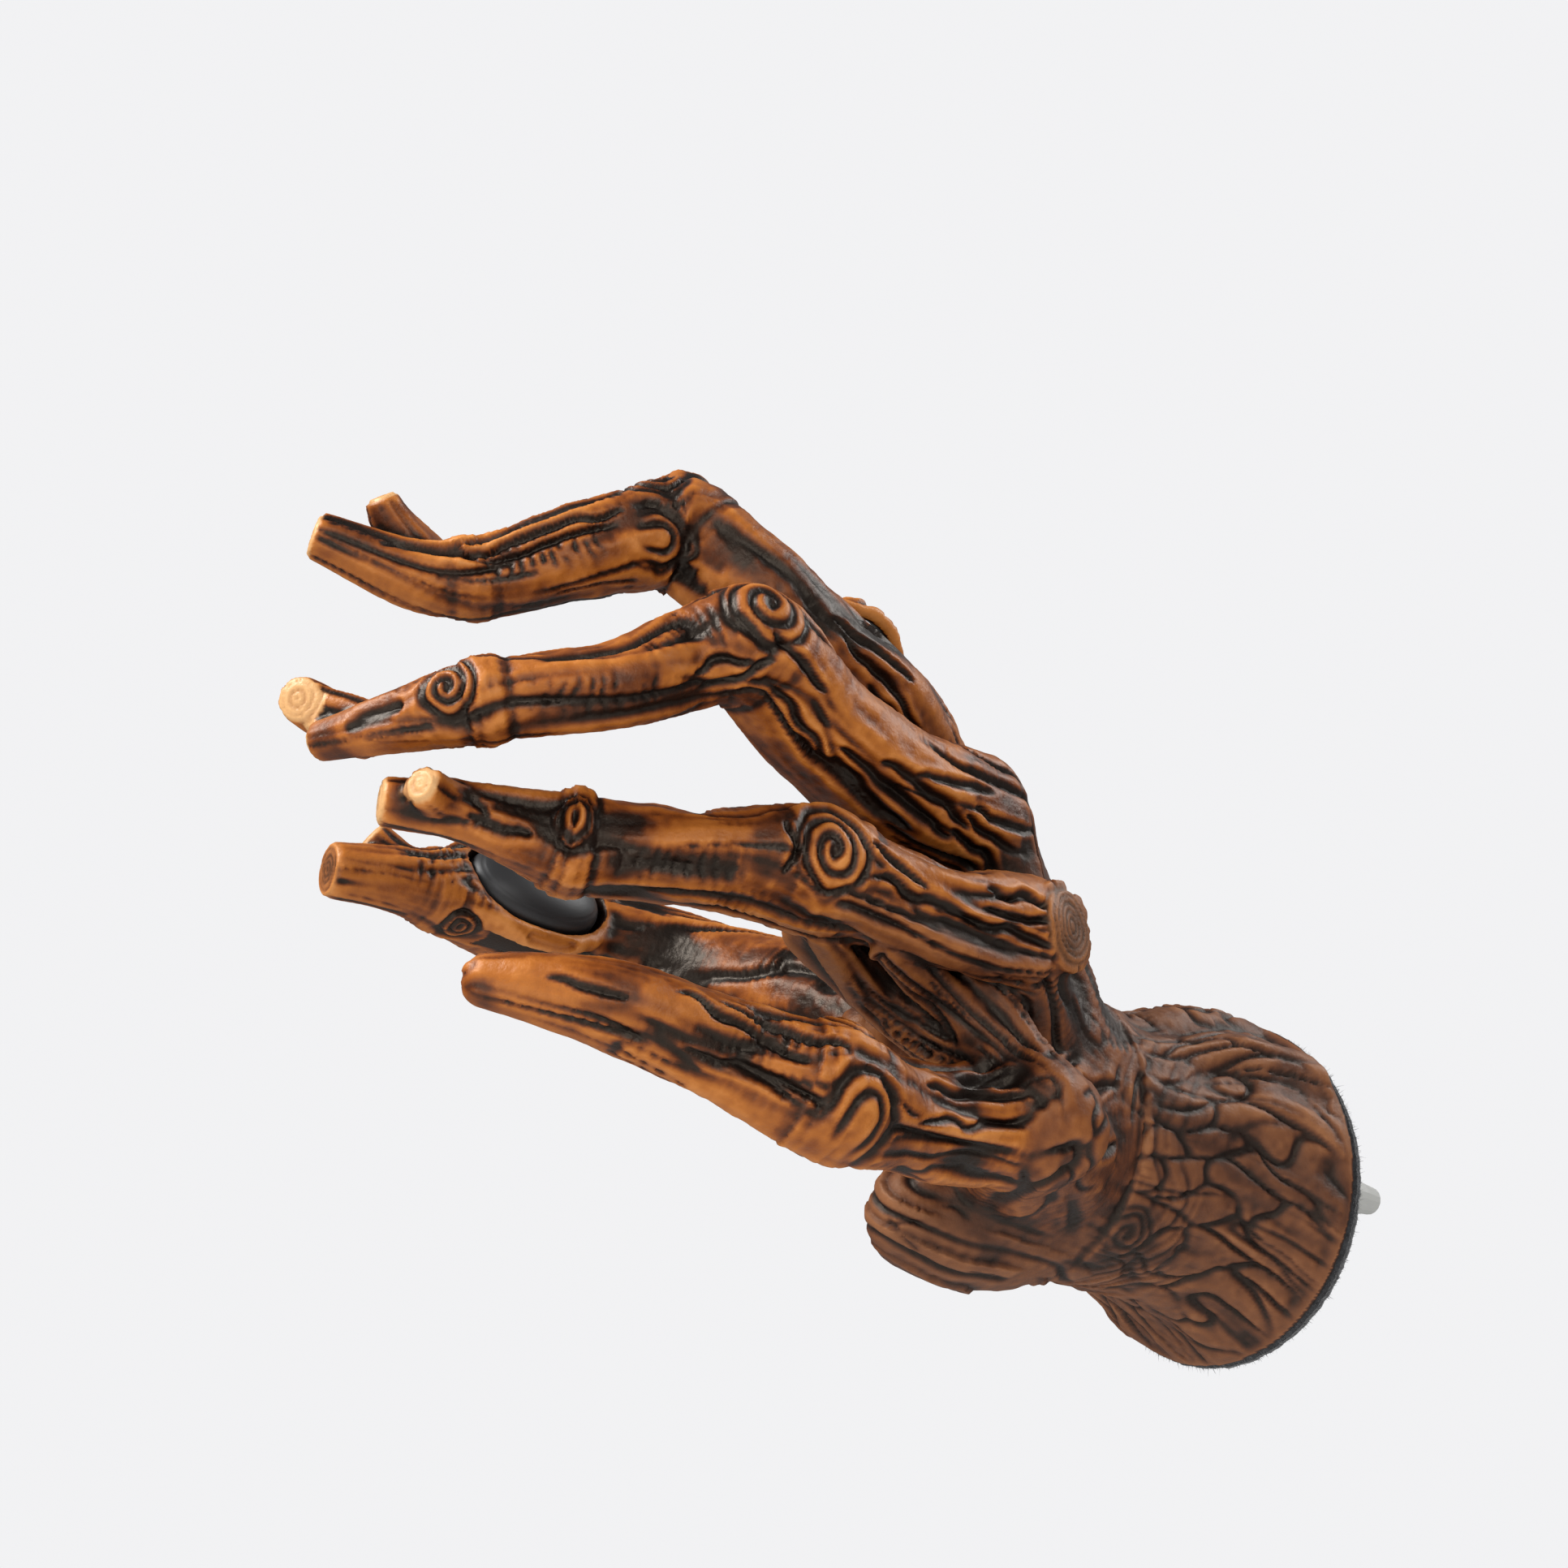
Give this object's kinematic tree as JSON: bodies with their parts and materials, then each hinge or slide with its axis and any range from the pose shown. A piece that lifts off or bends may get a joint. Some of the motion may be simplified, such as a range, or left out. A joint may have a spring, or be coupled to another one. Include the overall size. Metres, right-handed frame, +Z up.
{
  "type": "wall guitar hanger",
  "caption": "Wall hanger for a guitar shaped like an open hand of gnarled branches, with a flared trunk foot on the wall and rubber pads for the headstock.",
  "frame": {"origin": "middle of the face that lies on the wall, on the back of the wall plate", "axes": "+Z up along the wall, +Y into the wall, so the hand reaches out towards -Y; +X to the viewer's right when facing the wall"},
  "size_m": [0.1212, 0.224, 0.1307],
  "materials": {
    "cast_bark": "cast resin painted as reddish brown bark, satin",
    "cast_branch": "cast resin painted as orange brown stained branch wood with near-black grooves, semi-gloss",
    "pad_rubber": "satin moulded rubber",
    "rod_steel": "plain drawn rod",
    "plate_steel": "zinc plated",
    "screw_steel": "bright zinc plated",
    "brass": "plain",
    "anchor_nylon": "grey nylon",
    "felt": "black felt"
  },
  "bodies": {
    "wall_bracket": {"wall_plate": "plate_steel", "wall_screw_1": "screw_steel", "wall_screw_2": "screw_steel", "wall_anchor_1": "anchor_nylon", "wall_anchor_2": "anchor_nylon"},
    "hand": {"trunk_casting": "cast_bark", "palm_casting": "cast_bark", "finger_1_casting": "cast_branch", "finger_2_casting": "cast_branch", "finger_3_casting": "cast_branch", "finger_4_casting": "cast_branch", "thumb_casting": "cast_branch", "thumb_pad": "pad_rubber", "finger_pad": "pad_rubber", "armature_core": "rod_steel", "armature_finger_1": "rod_steel", "armature_finger_2": "rod_steel", "armature_finger_3": "rod_steel", "armature_finger_4": "rod_steel", "armature_thumb": "rod_steel", "felt_ring": "felt", "hang_plate": "plate_steel", "plate_screw_1": "screw_steel", "plate_screw_2": "screw_steel", "plate_screw_3": "screw_steel", "brass_insert_1": "brass", "brass_insert_2": "brass", "brass_insert_3": "brass"}
  },
  "joints": [
    {"name": "hand_lift", "type": "slide", "parent": "wall_bracket", "child": "hand", "axis": [0, 0, 1], "range_m": [0, 0.011]}
  ]
}
